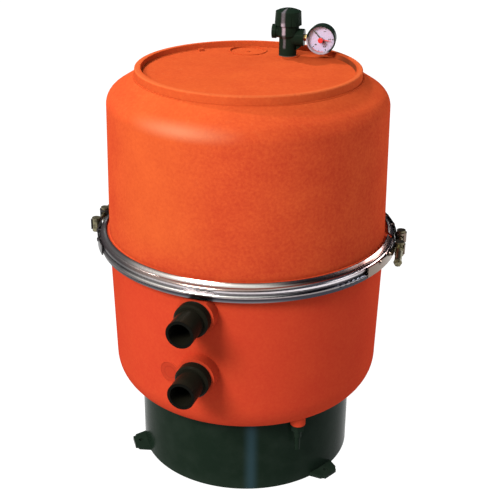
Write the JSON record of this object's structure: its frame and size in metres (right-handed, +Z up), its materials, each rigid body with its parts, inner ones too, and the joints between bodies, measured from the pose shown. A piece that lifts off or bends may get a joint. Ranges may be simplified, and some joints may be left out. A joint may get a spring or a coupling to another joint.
{
  "type": "side-port sand filter tank",
  "caption": "Two-part moulded filter tank on a skirt base with a band clamp, side pipe ports, a drain, a bleed valve and a pressure gauge.",
  "frame": {"origin": "on the floor under the tank's axis, at the centre of the base skirt", "axes": "+Z up along the tank's axis; -Y out of the two pipe ports; +X to the right seen from the ports"},
  "size_m": [0.5928, 0.6028, 0.8136],
  "materials": {
    "orange_shell": "moulded, faintly mottled, soft sheen",
    "black_plastic": "moulded, satin",
    "stainless": "rolled and brushed",
    "plated_steel": "yellow passivated zinc",
    "brass": "machined",
    "rubber": "moulded",
    "pale_plastic": "moulded",
    "dial_white": "satin with dark marks",
    "needle_black": "satin",
    "pointer_red": "moulded",
    "clear_lens": "clear polycarbonate"
  },
  "bodies": {
    "tank": {"lower_shell": "orange_shell", "upper_shell": "orange_shell", "base_ring": "black_plastic", "inlet_adaptor": "black_plastic", "outlet_adaptor": "black_plastic", "inlet_locknut": "black_plastic", "outlet_locknut": "black_plastic", "drain_body": "black_plastic", "valve_body": "black_plastic", "valve_locknut": "black_plastic", "gauge_case": "black_plastic", "gauge_bezel": "black_plastic", "clamp_half_front": "stainless", "anchor_strap_left": "stainless", "barrel_strap_right": "stainless", "strap_rivets_front": "stainless", "clamp_bolt_left": "plated_steel", "bolt_barrel_right": "plated_steel", "clamp_washer_right": "plated_steel", "clamp_sleeve_right": "plated_steel", "gauge_stem": "brass", "bourdon_tube": "brass", "gauge_movement": "brass", "flange_seal": "rubber", "inlet_gasket": "rubber", "outlet_gasket": "rubber", "drain_seal": "rubber", "valve_seal": "rubber", "inlet_elbow": "pale_plastic", "riser_pipe": "pale_plastic", "diffuser_head": "pale_plastic", "outlet_pipe": "pale_plastic", "outlet_elbow": "pale_plastic", "collector_hub": "pale_plastic", "drain_strainer": "pale_plastic", "lateral_1": "pale_plastic", "lateral_2": "pale_plastic", "lateral_3": "pale_plastic", "lateral_4": "pale_plastic", "lateral_5": "pale_plastic", "lateral_6": "pale_plastic", "gauge_dial": "dial_white", "gauge_lens": "clear_lens"},
    "rear_clamp": {"clamp_half_rear": "stainless", "strap_rivets_rear": "stainless", "anchor_strap_right": "stainless", "clamp_bolt_right": "plated_steel", "barrel_strap_left": "stainless", "bolt_barrel_left": "plated_steel", "clamp_washer_left": "plated_steel", "clamp_sleeve_left": "plated_steel"},
    "nut_right": {"clamp_nut_right": "plated_steel"},
    "nut_left": {"clamp_nut_left": "plated_steel"},
    "bleed_lift": {"bleed_oring": "rubber"},
    "bleed_knob": {"bleed_cap": "black_plastic", "bleed_spindle": "pale_plastic"},
    "drain_drop": {"drain_oring": "rubber"},
    "drain_knob": {"drain_plug": "black_plastic"},
    "needle": {"gauge_needle": "needle_black"},
    "set_hand": {"set_pointer": "pointer_red"}
  },
  "joints": [
    {"name": "clamp_release", "type": "slide", "parent": "tank", "child": "rear_clamp", "axis": [-0.1426, 0.9898, 0], "range_m": [0, 0.01]},
    {"name": "nut_right_turn", "type": "hinge", "parent": "tank", "child": "nut_right", "pos_m": [0.28845, -0.04633, 0.43], "axis": [0.1426, -0.9898, 0], "range_deg": [0, 2880.1]},
    {"name": "nut_left_turn", "type": "hinge", "parent": "rear_clamp", "child": "nut_left", "pos_m": [-0.28845, 0.04633, 0.43], "axis": [-0.1426, 0.9898, 0], "range_deg": [0, 2880.1]},
    {"name": "bleed_rise", "type": "slide", "parent": "tank", "child": "bleed_lift", "axis": [0, 0, 1], "range_m": [0, 0.004]},
    {"name": "bleed_turn", "type": "hinge", "parent": "bleed_lift", "child": "bleed_knob", "pos_m": [0.0315, 0.1283, 0.797], "axis": [0, 0, 1], "range_deg": [0, 720.1]},
    {"name": "drain_unscrew", "type": "slide", "parent": "tank", "child": "drain_drop", "axis": [0, 0, -1], "range_m": [0, 0.006]},
    {"name": "drain_turn", "type": "hinge", "parent": "drain_drop", "child": "drain_knob", "pos_m": [0.14894, -0.15157, 0.098], "axis": [0, 0, -1], "range_deg": [0, 1440.1]},
    {"name": "needle_sweep", "type": "hinge", "parent": "tank", "child": "needle", "pos_m": [0.09255, 0.13569, 0.762], "axis": [-0.1201, 0.9928, 0], "range_deg": [0, 270], "stiffness_Nm_per_rad": 0.002},
    {"name": "set_hand_turn", "type": "hinge", "parent": "tank", "child": "set_hand", "pos_m": [0.09255, 0.13569, 0.762], "axis": [-0.1201, 0.9928, 0], "range_deg": [-142, 128]}
  ],
  "couplings": [
    {"joint": "nut_right_turn", "follows": "clamp_release", "rad_per_m": 5026.5},
    {"joint": "nut_left_turn", "follows": "clamp_release", "rad_per_m": 5026.5},
    {"joint": "bleed_turn", "follows": "bleed_rise", "rad_per_m": 3141.6},
    {"joint": "drain_turn", "follows": "drain_unscrew", "rad_per_m": 4188.8}
  ]
}
